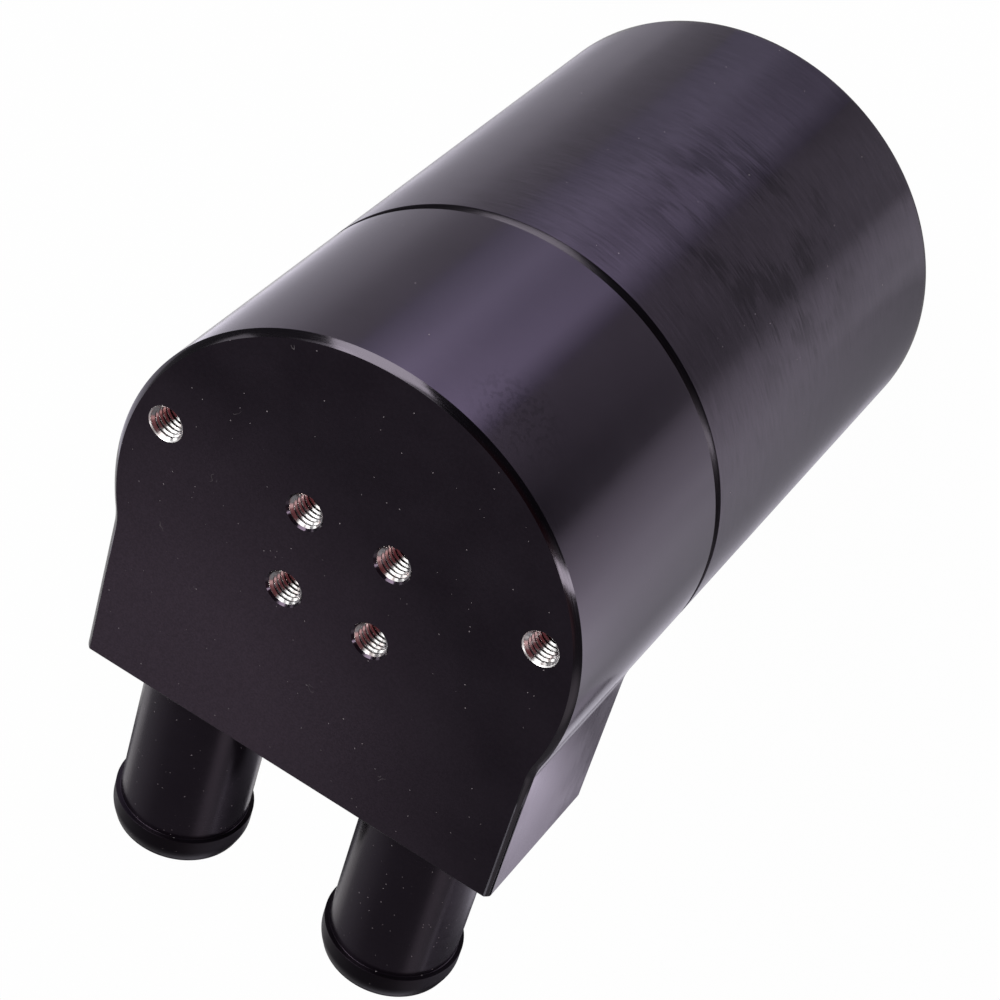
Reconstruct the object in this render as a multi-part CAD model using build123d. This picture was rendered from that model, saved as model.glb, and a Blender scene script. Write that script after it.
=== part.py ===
from build123d import *
import math
import os

# Oil catch can: a D-shaped billet head with two hose stubs, and a turned cup that screws on to it.
# Millimetres. The origin is the centre of the cup's flat foot, +Z runs up through the head, and the
# hose stubs point to -Y.

# Round body
body_d = 70.0            # outside diameter of can and head
can_h = 71.1             # can, from its foot to the seam
head_h = 38.5            # head, from the seam to the mounting face
seam_chamfer = 0.8       # on both edges of the seam, so that they make a V groove
top_chamfer = 0.85       # round the mounting face
foot_chamfer = 0.6       # round the can's foot

# Hose stubs
barb_od = 18.9           # the tube that the hose grips
barb_wall = 1.7
barb_reach = 32.2        # from the port face to the stub's end
barb_seat = 9.0          # length pressed into the head
bead_proud = 0.7         # the bead stands this far out of the tube
bead_land = 2.0          # its cylindrical part, next to the shoulder
bead_lead = 2.7          # its tapered part, which the hose goes on over
bead_tip_proud = 0.1     # what is left of it at the stub's end
bead_round = 0.5         # on the tip's edge
bond_gap = 0.02          # radial room for the retaining compound

# Port block on the front of the head
block_inset = 1.8        # each flat side stands this far inside the round body's side
block_blend_r = 10.0     # hollow blend from the round body to the flat sides
port_face_proud = 0.5    # the port face stands this far in front of the round body
port_roof = 2.13         # metal over a stub's seat
port_floor = 4.13        # metal under it
port_wall = 5.33         # metal beside it

# Tapped holes in the mounting face
screw_d = 5.0            # thread major diameter
screw_depth = 10.0       # full thread
centre_wall = 1.45       # metal between the square of four and the ports
centre_shift = 0.65      # the square's middle, behind the can's axis
wing_edge = 6.5          # from the outer two holes to the round body's side
wing_shift = 8.15        # the outer two holes, behind the can's axis
centre_sink = 0.3        # the mouths of the four are this much wider all round
wing_sink = 0.15         # and those of the outer two
sink_angle = 90.0        # included angle of a countersink, in degrees
drill_angle = 118.0      # included angle of a drilled hole's end, in degrees

# Screw joint between head and can
thread_pitch = 1.5
thread_turns = 5
thread_wall = 3.45       # can wall outside the thread's root
thread_depth = 0.95      # from the can's root to the spigot's root
run_out = 1.0            # the can's thread goes on below the spigot by this much
lead_chamfer = 0.8       # on the spigot's lower edge and in the can's mouth

# Main seal, in a plain land above the thread
seal_wall = 3.25         # can wall round the land
land_gap = 0.3           # radial room round the land
cord_d = 2.6             # section of the ring
ring_gap = 0.1           # radial room on both sides of the ring
gland_play = 0.9         # the gland is this much wider than the ring
gland_lip = 1.5          # land above and below the gland

# Inside of the can
can_wall = 5.0
can_floor = 5.0
floor_r = 3.0            # between floor and wall

# Passages in the head
plenum_wall = 4.6        # spigot wall round the recess in its underside
plenum_h = 4.0
passage_d = 14.0         # drilled up from the recess into each port
passage_land = 0.8       # roof left between a passage and the recess's side
passage_angle = 37.0     # each passage, in front of the crosswise axis, in degrees
passage_stop = 3.0       # the drill stops this far under the port's axis

# Inlet tube
tube_wall = 1.0
tube_seat = 8.0          # length pressed into the head
tube_end = 22.0          # its lower end, above the foot

# Baffle plate, mesh pad, and the screws and spacers that hold them
pad_h = 12.0             # from the plate to the spigot
pad_gap = 1.0            # pad to can
plate_t = 2.0
plate_gap = 0.6          # plate to can
plate_hole_d = 4.5
plate_step = 7.5         # from one ring of holes to the next, and about from hole to hole
plate_land = 1.5         # metal left round a hole
slip_gap = 0.2           # radial room round what passes through plate, pad or spacer
spacer_wall = 1.3
stay_d = 4.0             # screw that holds the plate
stay_count = 3
stay_edge = 5.0          # from the screws to the recess's side
stay_engage = 7.0        # length of screw in the head
stay_spare = 1.5         # the tapped hole goes on by this much
stay_gap = 0.05          # radial room between screw and tapped hole
stay_sink = 0.25         # the tapped hole's mouth is this much wider all round
stay_head_d = 7.0
stay_head_h = 2.6
stay_key = 2.5           # across the flats of the screw's socket
stay_key_depth = 1.5

# Worked out from the sizes above
body_r = body_d / 2
top_z = can_h + head_h
barb_r = barb_od / 2
bore_r = barb_r - barb_wall
seat_r = barb_r + bond_gap
block_half = body_r - block_inset
port_x = block_half - port_wall - seat_r
port_y = -body_r - port_face_proud
port_z = top_z - port_roof - seat_r
block_z = port_z - seat_r - port_floor
centre_half = port_x - bore_r - centre_wall - screw_d / 2

gland_w = cord_d + gland_play
gland_z = can_h - gland_lip - gland_w / 2
land_z = gland_z - gland_w / 2 - gland_lip
spigot_z = land_z - thread_turns * thread_pitch
thread_root_r = body_r - thread_wall
spigot_root_r = thread_root_r - thread_depth
seal_r = body_r - seal_wall
land_r = seal_r - land_gap
ring_r = seal_r - ring_gap - cord_d / 2
gland_r = ring_r - cord_d / 2 - ring_gap
can_bore_r = body_r - can_wall

plenum_r = spigot_root_r - plenum_wall
plenum_z = spigot_z + plenum_h
passage_r = passage_d / 2
passage = Vector(plenum_r - passage_land - passage_r, 0).rotate(Axis.Z, -passage_angle)
tube = Vector(-passage.X, passage.Y)
tube_r = passage_r - bond_gap
plate_top = spigot_z - pad_h
plate_z = plate_top - plate_t
plate_r = can_bore_r - plate_gap
stay_hole_r = stay_d / 2 + slip_gap
spacer_r = stay_hole_r + spacer_wall
stay_places = [
    Vector(plenum_r - stay_edge, 0).rotate(Axis.Z, 360 * index / stay_count - 90)
    for index in range(stay_count)
]


def turned(outline):
    """Solid turned about Z from a closed outline of (radius, height) points."""
    return revolve(make_face(Plane.XZ * Polyline(*outline, close=True)), Axis.Z)


def bar(radius, low, high, x=0.0, y=0.0):
    """Upright round bar between two heights."""
    upright = Cylinder(radius, high - low, align=(Align.CENTER, Align.CENTER, Align.MIN))
    return Pos(x, y, low) * upright


def port_place(side):
    """Where a port meets the port face, with local +Z pointing out along the stub."""
    return Pos(side * port_x, port_y, port_z) * Rot(90, 0, 0)


def tapped_hole(major_d, depth, sink):
    """Cutter for a blind tapped hole at its thread's major diameter, with its mouth up at the origin."""
    radius = major_d / 2
    sink_depth = sink / math.tan(math.radians(sink_angle / 2))
    tip = radius / math.tan(math.radians(drill_angle / 2))
    return turned([
        (0, 0),
        (radius + sink, 0),
        (radius, -sink_depth),
        (radius, -depth),
        (0, -depth - tip),
    ])


def head_outline():
    """Plan of the head: the round body run into a flat-sided block by two hollow blends."""
    blend_x = block_half + block_blend_r
    blend_y = -math.sqrt((body_r + block_blend_r) ** 2 - blend_x ** 2)
    meet = Vector(blend_x, blend_y) * (body_r / (body_r + block_blend_r))
    flat_end = Vector(block_half, blend_y)
    side = [
        Line((block_half, port_y), flat_end),
        TangentArc(flat_end, meet, tangent=(0, 1)),
    ]
    other_side = [mirror(line, about=Plane.YZ) for line in side]
    back = ThreePointArc(meet, (0, body_r), (-meet.X, meet.Y))
    front = Line((-block_half, port_y), (block_half, port_y))
    return make_face(side + [back, front] + other_side)


def spigot():
    """What reaches down into the can: a plain land with the seal's gland, and the thread's core."""
    return turned([
        (0, spigot_z),
        (spigot_root_r - lead_chamfer, spigot_z),
        (spigot_root_r, spigot_z + lead_chamfer),
        (spigot_root_r, land_z),
        (land_r, land_z),
        (land_r, gland_z - gland_w / 2),
        (gland_r, gland_z - gland_w / 2),
        (gland_r, gland_z + gland_w / 2),
        (land_r, gland_z + gland_w / 2),
        (land_r, can_h),
        (0, can_h),
    ])


def head_blank():
    """Outside of the head: round body and port block, chamfered at the mounting face and the seam."""
    block = extrude(Pos(0, 0, block_z) * head_outline(), top_z - block_z)
    blank = bar(body_r, can_h, top_z) + block
    rim = blank.edges().filter_by_position(Axis.Z, top_z, top_z)
    front_edge = rim.filter_by_position(Axis.Y, port_y, port_y)
    blank = chamfer(rim - front_edge, top_chamfer)
    seam_edge = blank.edges().filter_by_position(Axis.Z, can_h, can_h)
    return chamfer(seam_edge, seam_chamfer)


def mounting_holes():
    """Cutters for the tapped holes in the mounting face: a square of four, and one at each wing."""
    corner_hole = tapped_hole(screw_d, screw_depth, centre_sink)
    wing_hole = tapped_hole(screw_d, screw_depth, wing_sink)
    spots = (-centre_half, centre_half)
    wing_x = body_r - wing_edge
    corners = [Pos(x, centre_shift + y, top_z) * corner_hole for x in spots for y in spots]
    wings = [Pos(x, wing_shift, top_z) * wing_hole for x in (-wing_x, wing_x)]
    return corners + wings


def gas_ways(side):
    """Cutters for one port, the stub's seat in it, and the passage that meets it from below."""
    port_depth = passage.Y + passage_r - port_y
    seat = port_place(side) * bar(seat_r, -barb_seat, 0)
    port = port_place(side) * bar(bore_r, -port_depth, 0)
    rise = bar(passage_r, plenum_z, port_z - passage_stop, side * passage.X, passage.Y)
    return [seat, port, rise]


def stay_holes():
    """Cutters for the tapped holes in the roof of the recess, for the screws that hold the baffle."""
    hole = Rot(180, 0, 0) * tapped_hole(stay_d + 2 * stay_gap, stay_engage + stay_spare, stay_sink)
    return [Pos(place.X, place.Y, plenum_z) * hole for place in stay_places]


def head():
    """The billet head with its spigot, gas ways and tapped holes."""
    solid = head_blank() + spigot() - bar(plenum_r, spigot_z, plenum_z)
    for cutter in gas_ways(-1) + gas_ways(1) + mounting_holes() + stay_holes():
        solid -= cutter
    return solid


def can():
    """The turned cup: flat foot, thick floor, thread below a plain mouth."""
    cup = turned([
        (0, 0),
        (body_r - foot_chamfer, 0),
        (body_r, foot_chamfer),
        (body_r, can_h - seam_chamfer),
        (body_r - seam_chamfer, can_h),
        (seal_r + lead_chamfer, can_h),
        (seal_r, can_h - lead_chamfer),
        (seal_r, land_z),
        (thread_root_r, land_z),
        (thread_root_r, spigot_z - run_out),
        (can_bore_r, spigot_z - run_out),
        (can_bore_r, can_floor),
        (0, can_floor),
    ])
    corner = cup.edges().filter_by(GeomType.CIRCLE).filter_by_position(Axis.Z, can_floor, can_floor)
    return fillet(corner, floor_r)


def main_o_ring():
    """Rubber ring in the spigot's gland."""
    return Pos(0, 0, gland_z) * Torus(ring_r, cord_d / 2)


def barb(side):
    """Hose stub: a tube with one square-shouldered bead that tapers towards its end."""
    bead_r = barb_r + bead_proud
    lead_start = barb_reach - bead_lead
    shoulder = lead_start - bead_land
    stub = turned([
        (bore_r, -barb_seat),
        (barb_r, -barb_seat),
        (barb_r, shoulder),
        (bead_r, shoulder),
        (bead_r, lead_start),
        (barb_r + bead_tip_proud, barb_reach),
        (bore_r, barb_reach),
    ])
    tip_edge = stub.edges().filter_by(GeomType.CIRCLE).group_by(Axis.Z)[-1].sort_by(SortBy.RADIUS)[-1]
    return port_place(side) * fillet(tip_edge, bead_round)


def inlet_tube():
    """Tube that takes the gas from the inlet passage down past the baffle."""
    outside = bar(tube_r, tube_end, plenum_z + tube_seat, tube.X, tube.Y)
    inside = bar(tube_r - tube_wall, tube_end, plenum_z + tube_seat, tube.X, tube.Y)
    return outside - inside


def plate_hole_places():
    """Rings of holes about the middle, leaving out those too near to the inlet tube or a screw."""
    hole_r = plate_hole_d / 2
    tube_keep = tube_r + slip_gap + plate_land + hole_r
    stay_keep = stay_head_d / 2 + plate_land + hole_r
    rings = int((plate_r - plate_land - hole_r) / plate_step)
    places = [Vector(0, 0)]
    for ring in range(1, rings + 1):
        count = int(2 * math.pi * ring)
        first = Vector(ring * plate_step, 0)
        places += [first.rotate(Axis.Z, 360 * index / count) for index in range(count)]
    return [
        place for place in places
        if (place - tube).length > tube_keep
        and all((place - stay).length > stay_keep for stay in stay_places)
    ]


def baffle_plate():
    """Perforated disc that keeps the caught oil from splashing up."""
    plate = bar(plate_r, plate_z, plate_top)
    plate -= bar(tube_r + slip_gap, plate_z, plate_top, tube.X, tube.Y)
    for place in stay_places:
        plate -= bar(stay_hole_r, plate_z, plate_top, place.X, place.Y)
    for place in plate_hole_places():
        plate -= bar(plate_hole_d / 2, plate_z, plate_top, place.X, place.Y)
    return plate


def mesh_pad():
    """Knitted wire pad between the plate and the spigot, as one soft disc."""
    pad = bar(can_bore_r - pad_gap, plate_top, spigot_z)
    pad -= bar(tube_r + slip_gap, plate_top, spigot_z, tube.X, tube.Y)
    for place in stay_places:
        pad -= bar(spacer_r + slip_gap, plate_top, spigot_z, place.X, place.Y)
    return pad


def baffle_spacer(place):
    """Tube round a screw, from the plate to the roof of the recess."""
    outside = bar(spacer_r, plate_top, plenum_z, place.X, place.Y)
    inside = bar(stay_hole_r, plate_top, plenum_z, place.X, place.Y)
    return outside - inside


def baffle_screw(place):
    """Cap screw with a hexagon socket, its head under the plate."""
    shank = bar(stay_d / 2, plate_z, plenum_z + stay_engage, place.X, place.Y)
    cap = bar(stay_head_d / 2, plate_z - stay_head_h, plate_z, place.X, place.Y)
    socket = extrude(RegularPolygon(stay_key / 2, 6, major_radius=False), stay_key_depth)
    return shank + cap - Pos(place.X, place.Y, plate_z - stay_head_h) * socket


nodes = {
    "head": head(),
    "can": can(),
    "main_o_ring": main_o_ring(),
    "inlet_barb": barb(-1),
    "outlet_barb": barb(1),
    "inlet_tube": inlet_tube(),
    "baffle_plate": baffle_plate(),
    "mesh_pad": mesh_pad(),
    "baffle_screws": Compound(children=[baffle_screw(place) for place in stay_places]),
}
for number, place in enumerate(stay_places, start=1):
    nodes[f"baffle_spacer_{number}"] = baffle_spacer(place)

os.makedirs("parts", exist_ok=True)
for name, shape in nodes.items():
    export_step(shape, f"parts/{name}.step")
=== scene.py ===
# %% [markdown]
# # Oil catch can
# An oil catch can hangs in the engine bay, between the crankcase and the air intake, and keeps the
# oil mist that the crankcase breathes out. This one is turned and milled from aluminium bar and
# anodised black: a D-shaped head with two hose stubs, and a cup that screws on from below.
# The solids come from the CAD model. This lesson gives them their finish, their fine edges and
# their screw threads, and it never moves or resizes them.

# %% Load the solids
import math
import bmesh
import bpy
from mathutils import Matrix, Vector


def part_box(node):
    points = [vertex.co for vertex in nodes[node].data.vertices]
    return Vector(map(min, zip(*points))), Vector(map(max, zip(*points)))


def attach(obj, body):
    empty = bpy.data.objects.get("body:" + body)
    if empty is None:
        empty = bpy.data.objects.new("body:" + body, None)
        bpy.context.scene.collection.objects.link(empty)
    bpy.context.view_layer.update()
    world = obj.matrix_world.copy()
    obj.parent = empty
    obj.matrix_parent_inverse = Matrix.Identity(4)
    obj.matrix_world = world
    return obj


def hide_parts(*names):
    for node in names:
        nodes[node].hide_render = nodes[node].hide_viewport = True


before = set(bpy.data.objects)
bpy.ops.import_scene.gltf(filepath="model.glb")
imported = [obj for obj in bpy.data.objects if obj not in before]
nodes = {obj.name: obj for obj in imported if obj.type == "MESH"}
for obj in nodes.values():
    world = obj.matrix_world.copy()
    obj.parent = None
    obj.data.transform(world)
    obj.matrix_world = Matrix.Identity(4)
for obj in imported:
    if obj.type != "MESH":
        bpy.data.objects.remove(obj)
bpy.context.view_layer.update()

scene = bpy.context.scene
scene.view_settings.view_transform = "Standard"
MM = 0.001
print("nodes:", sorted(nodes))

# %% [markdown]
# ## Sizes that everything shares
# A shop would read these off the drawing. They could be typed in here as well, but then a change in
# the CAD model would be missed, so they are read off the solids' boxes. Sizes that no box can give,
# such as chamfers, walls and holes, are written down where they are first needed.

# %% Read the main sizes
can_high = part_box("can")[1]
head_low, head_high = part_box("head")
stub_low, stub_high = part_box("outlet_barb")
body_r = can_high.x
seam_z = can_high.z
top_z = head_high.z
spigot_z = head_low.z
port_y = head_low.y
port_x = (stub_low.x + stub_high.x) / 2
port_z = (stub_low.z + stub_high.z) / 2
stub_end = stub_low.y
seam_chamfer = 0.8 * MM
print("body radius %.1f mm, seam at %.1f mm, top at %.1f mm" % (body_r / MM, seam_z / MM, top_z / MM))

# %% [markdown]
# ## The camera
# The photograph was taken with a long lens, from behind and above the mounting face, and the camera
# is rolled so that the can's foot points up and to the right. Place, aim, roll and lens were fitted
# to the outline in the photograph, so they are not round numbers. A track quaternion turns the camera
# to its aim, and a second turn about the line of sight gives the roll. The small shift puts the lens
# axis where it lies in the photograph.

# %% Place the camera
eye = Vector((103.594, 243.320, 361.671)) * MM
aim = Vector((-0.593, -19.933, 58.418)) * MM
roll = math.radians(-133.399)
look = (aim - eye).to_track_quat("-Z", "Y").to_matrix()
camera_data = bpy.data.cameras.new("camera")
camera_data.sensor_width = 36.0
camera_data.lens = 103.554
camera_data.shift_x = 0.00559
camera_data.shift_y = 0.00497
camera_data.clip_start = 0.01
camera = bpy.data.objects.new("camera", camera_data)
scene.collection.objects.link(camera)
camera.matrix_world = Matrix.Translation(eye) @ (look @ Matrix.Rotation(roll, 3, "Z")).to_4x4()
scene.camera = camera
print("camera %.0f mm away, lens %.0f mm" % ((aim - eye).length / MM, camera_data.lens))

# %% [markdown]
# ## A short way to write shader nodes
# Node trees can be clicked together in the editor, but a script has to write them down, and they are
# easier to read as text when each node is one call. `put` adds a node, sets its options, and takes a
# plain value or another node's socket for each input.

# %% Node helpers
def set_inputs(tree, node, inputs):
    """Give a node its inputs: each is a plain value or another node's output socket."""
    for key, value in inputs.items():
        if isinstance(value, bpy.types.NodeSocket):
            tree.links.new(value, node.inputs[key])
        else:
            node.inputs[key].default_value = value


def put(tree, kind, inputs=None, **settings):
    """Add one shader node with its options and its inputs."""
    node = tree.nodes.new("ShaderNode" + kind)
    for key, value in settings.items():
        setattr(node, key, value)
    set_inputs(tree, node, inputs or {})
    return node


def place(tree):
    """The point being shaded, in the piece's own frame, in metres."""
    return put(tree, "TexCoord").outputs["Object"]


def how_far(tree, where, spot):
    """How far the shaded point lies from a spot, in metres."""
    return put(tree, "VectorMath", {0: where, 1: spot}, operation="DISTANCE").outputs["Value"]


def noise(tree, where, size, detail=2.0, rough=0.5):
    """Noise with features of about the given size, in metres: one number, or one for each axis."""
    sizes = (size, size, size) if isinstance(size, float) else size
    stretched = put(tree, "Mapping", {"Vector": where, "Scale": [1 / each for each in sizes]})
    cloud = put(tree, "TexNoise", {
        "Vector": stretched.outputs[0],
        "Scale": 1.0,
        "Detail": detail,
        "Roughness": rough,
    })
    return cloud.outputs["Fac"]


def span(tree, value, low, high, to_low, to_high):
    """Carry a value from one range over to another, and stop at the ends."""
    limits = {"From Min": low, "From Max": high, "To Min": to_low, "To Max": to_high}
    return put(tree, "MapRange", {"Value": value, **limits}).outputs["Result"]


def math_node(tree, operation, *values):
    """One arithmetic step."""
    return put(tree, "Math", dict(enumerate(values)), operation=operation).outputs[0]


def mix(tree, share, first, second):
    """Blend two colours: all first at 0, all second at 1."""
    return put(tree, "Mix", {0: share, 6: first, 7: second}, data_type="RGBA").outputs[2]


def empty_finish(name):
    """A new material with one Principled shader, and its node tree."""
    material = bpy.data.materials.new(name)
    material.use_nodes = True
    tree = material.node_tree
    return material, tree, tree.nodes["Principled BSDF"]


print("node helpers ready")

# %% [markdown]
# ## The floor
# Black gloss shows its surroundings more than its own colour, so the set matters as much as the
# finish. The floor is a wide white sheet, and lamps light it as any floor, so the can's shadow stays
# on it. Stronger lamps could make it white, but they would also light the can. So nearly all of the
# white that the camera sees is a plain glow of strength 1. Rays that bounce off the metal get about a
# third of that glow, which keeps the black skin dark.

# %% Make the floor
floor_half = 8.0
floor_drop = 0.2 * MM
camera_glow = 0.985
mirror_glow = 0.35
white = (1.0, 1.0, 1.0, 1.0)
floor_colour = (0.93, 0.93, 0.93, 1.0)


def flat_sheet(name, corners, height):
    """One flat face on the stage, from corners in plan."""
    mesh = bpy.data.meshes.new(name)
    mesh.from_pydata([(x, y, height) for x, y in corners], [], [list(range(len(corners)))])
    sheet = bpy.data.objects.new(name, mesh)
    scene.collection.objects.link(sheet)
    return sheet


def floor_paint():
    """White floor: a lit surface, mixed with a plain glow for the camera and for reflections."""
    material = bpy.data.materials.new("floor_white")
    material.use_nodes = True
    material.cycles.emission_sampling = "NONE"
    tree = material.node_tree
    tree.nodes.clear()
    rays = put(tree, "LightPath").outputs
    seen = math_node(tree, "MULTIPLY", rays["Is Camera Ray"], camera_glow)
    mirrored = math_node(tree, "MAXIMUM", rays["Is Glossy Ray"], rays["Is Transmission Ray"])
    share = math_node(tree, "MULTIPLY_ADD", mirrored, mirror_glow, seen)
    lit = put(tree, "BsdfDiffuse", {"Color": floor_colour})
    glow = put(tree, "Emission", {"Color": white, "Strength": 1.0})
    both = put(tree, "MixShader", {0: share, 1: lit.outputs[0], 2: glow.outputs[0]})
    put(tree, "OutputMaterial", {"Surface": both.outputs[0]})
    return material


floor_corners = [(x * floor_half, y * floor_half) for x, y in ((-1, -1), (1, -1), (1, 1), (-1, 1))]
floor = flat_sheet("floor", floor_corners, -floor_drop)
floor.data.materials.append(floor_paint())
print("floor", 2 * floor_half, "m wide")

# %% [markdown]
# ## Cards on the floor
# In the photograph a dark stripe and a violet one run along the can, and softer shades lie beside
# them. They are mirror images of what lies around it. They could be painted on the skin, but then
# they would stay put when the view changes. Photographers draw such stripes with cards, and so does
# this lesson. A card here is a glowing sheet just above the floor, hidden from the camera, and only
# the metal sees it. Its points carry its colours, so it can fade from one tone to another.

# %% Card helpers
def tinted(tint, tone):
    """A tint at the given brightness, as a colour with four channels."""
    return [tone * each for each in tint] + [1.0]


def glow_paint(name):
    """A plain glow in the colours that the sheet's points carry."""
    material = bpy.data.materials.new(name)
    material.use_nodes = True
    material.cycles.emission_sampling = "NONE"
    tree = material.node_tree
    tree.nodes.clear()
    paint = put(tree, "VertexColor", layer_name="tone")
    glow = put(tree, "Emission", {"Color": paint.outputs["Color"], "Strength": 1.0})
    put(tree, "OutputMaterial", {"Surface": glow.outputs[0]})
    return material


def glow_sheet(name, grid, height):
    """A sheet from rows of (point, colour), seen by the metal alone."""
    width = len(grid[0])
    faces = []
    for row in range(len(grid) - 1):
        for column in range(width - 1):
            first = row * width + column
            faces.append([first, first + 1, first + width + 1, first + width])
    mesh = bpy.data.meshes.new(name)
    mesh.from_pydata([(x, y, height) for row in grid for (x, y), colour in row], [], faces)
    layer = mesh.color_attributes.new("tone", "FLOAT_COLOR", "POINT")
    for item, colour in zip(layer.data, [colour for row in grid for point, colour in row]):
        item.color = colour
    mesh.materials.append(glow_paint(name))
    sheet = bpy.data.objects.new(name, mesh)
    scene.collection.objects.link(sheet)
    sheet.visible_camera = False
    sheet.visible_diffuse = False
    sheet.visible_shadow = False
    print(name, len(faces), "fields")


print("card helpers ready")

# %% [markdown]
# A stripe that stays straight along the can needs a card whose sides follow the mirrored sight lines.
# Each side has a tone for the foot and one for farther out, and rings of points fade from one to the
# other and a little beyond. The cards go round the can from right to left, as the camera sees it. Each
# starts with the tone that the one before it ends with, or nearly so, because a step would show as a
# line along the can. The violet card is the brightest: it makes the wide stripe in the middle.

# %% Lay the cards
# Painted shade: most cards are darker at the can's foot than farther out, which paints the floor's shade
# close to the can into the reflections.
card_rings = (0.0, 0.04, 0.09, 0.12, 3.0)
card_fade = (0.0, 0.33, 0.76, 1.5, 1.5)
card_start = 1.01
darkest_tone = 0.02
card_height = 0.3 * MM
sight_azimuth = math.degrees(math.atan2(eye.y - aim.y, eye.x - aim.x))


def round_card(name, tint, tones):
    """A card that the can mirrors between the first and the last angle about its axis.

    Each tone is (angle in degrees, brightness at the foot, brightness farther out)."""
    grid = []
    for angle, near, far in tones:
        foot = Vector((math.cos(math.radians(angle)), math.sin(math.radians(angle)))) * body_r * card_start
        ray = math.radians(2 * angle - sight_azimuth)
        outward = Vector((math.cos(ray), math.sin(ray)))
        row = []
        for reach, fade in zip(card_rings, card_fade):
            tone = max(near + (far - near) * fade, darkest_tone)
            row.append((foot + outward * reach, tinted(tint, tone)))
        grid.append(row)
    glow_sheet(name, grid, card_height)


violet = (1.0, 0.95, 1.26)
plain = (1.0, 0.96, 1.09)
round_card("right_card", plain, [
    (-16, 0.80, 0.80), (-6, 0.34, 0.62), (3, 0.33, 0.50), (12, 0.38, 1.02),
    (18, 0.44, 1.44), (26, 0.78, 1.52), (34, 0.90, 1.18), (40, 0.82, 0.78),
])
round_card("dark_card", plain, [
    (40, 0.82, 0.78), (44, 0.50, 0.18), (51, 0.54, 0.15), (58, 0.50, 0.35), (69, 0.34, 0.62),
])
round_card("violet_card", violet, [
    (69, 0.33, 0.60), (75, 0.55, 2.10), (84, 0.50, 1.65),
    (91, 0.64, 1.88), (95, 0.60, 1.40), (103, 0.46, 0.62),
])
round_card("left_card", plain, [
    (103, 0.46, 0.62), (112, 0.50, 0.58), (119, 0.66, 0.70),
    (133, 0.60, 0.72), (140, 0.76, 0.90), (147, 1.25, 1.50),
])

# %% [markdown]
# The flat side of the block and the stubs mirror the floor in front of the can, which lies in the
# can's own shadow. The cards there paint that shadow, a painted shadow that only the metal sees. One
# card has a dark strip and a bright end, and shades the block's side from pale to dark. Two dark
# cards lie farther out: the right sides of the stubs mirror one of them, and the outlet's left side
# mirrors the other.

# %% Lay the front cards
front_card_height = 2 * card_height
rosy = (1.0, 0.905, 1.11)


def flat_card(name, tint, rows):
    """A card from rows of corners in plan: x and y in millimetres, and the brightness there."""
    grid = []
    for row in rows:
        grid.append([(Vector((x, y)) * MM, tinted(tint, tone)) for x, y, tone in row])
    glow_sheet(name, grid, front_card_height)


flat_card("side_card", rosy, [
    [(48, -92, 0.45), (54, -92, 0.10), (58, -92, 0.10), (63, -92, 0.45), (80, -92, 0.45)],
    [(48, -104, 0.50), (54, -104, 0.08), (58, -104, 0.12), (63, -104, 0.50), (80, -104, 0.50)],
    [(48, -122, 0.55), (54, -122, 0.15), (58, -122, 0.32), (63, -122, 1.50), (80, -122, 1.70)],
    [(48, -150, 0.55), (54, -150, 0.30), (58, -150, 0.50), (63, -150, 0.80), (80, -150, 0.90)],
])
flat_card("stub_card", plain, [
    [(20, -144, 0.03), (46, -156, 0.03), (96, -180, 0.03), (193, -254, 0.03), (1000, -1015, 0.03)],
    [(-60, -300, 0.03), (-20, -320, 0.03), (40, -360, 0.03), (150, -450, 0.03), (900, -1300, 0.03)],
])
flat_card("gap_card", plain, [
    [(-82, -155, 0.04), (-15, -155, 0.04)],
    [(-165, -220, 0.06), (-95, -220, 0.06)],
    [(-225, -265, 0.40), (-155, -265, 0.40)],
])

# %% [markdown]
# ## Lamps
# One broad softbox stands behind the can and to the left of the camera: it draws the long glint on
# the upper chamfer. A narrow strip lamp draws the short one on the right. Three white panels stand in
# an arc on the left, each lower than the last, where the upper flanks of the threads in the holes
# look. Point lamps could light the can as well, but gloss mirrors the shape of a lamp, so each lamp
# is a rectangle of the size that its glint needs.

# %% Light the set
lamp_target = Vector((0.0, -0.01, 0.06))
thread_panels = ((114.0, 54.0), (148.0, 43.0), (180.0, 27.0))


def heading(azimuth, elevation):
    """The direction towards an azimuth and an elevation, in degrees."""
    a = math.radians(azimuth)
    e = math.radians(elevation)
    return Vector((math.cos(a) * math.cos(e), math.sin(a) * math.cos(e), math.sin(e)))


def softbox(name, azimuth, elevation, distance, width, height, power):
    """An area lamp on a sphere about the can, facing it."""
    data = bpy.data.lights.new(name, "AREA")
    data.shape = "RECTANGLE"
    data.size = width
    data.size_y = height
    data.energy = power
    lamp = bpy.data.objects.new(name, data)
    scene.collection.objects.link(lamp)
    out = heading(azimuth, elevation)
    facing = (-out).to_track_quat("-Z", "Y").to_matrix().to_4x4()
    lamp.matrix_world = Matrix.Translation(lamp_target + out * distance) @ facing
    print(name, power, "W")


softbox("broad_softbox", 117.5, 35.0, distance=0.80, width=0.46, height=0.34, power=3.6)
softbox("strip_lamp", 8.5, 33.0, distance=0.80, width=0.11, height=0.32, power=1.0)
for number, (azimuth, elevation) in enumerate(thread_panels, start=1):
    name = "thread_panel_%d" % number
    softbox(name, azimuth, elevation, distance=1.00, width=0.44, height=0.26, power=0.60)

# %% [markdown]
# ## Sky
# The mounting face looks straight up into the room, and the photograph shows it almost black. So the
# sky is a dim grey for all that the metal mirrors: darkest behind the camera, where the room is dark,
# and red on the right, which gives the other side of the bright threads its warm brown. A small pink
# patch puts a glint on them, and three pale patches low over the floor stand for walls. Real walls
# could do all this, but round patches of colour are easier to move. Where the camera itself looks
# past the floor, the sky is plain white.

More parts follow.
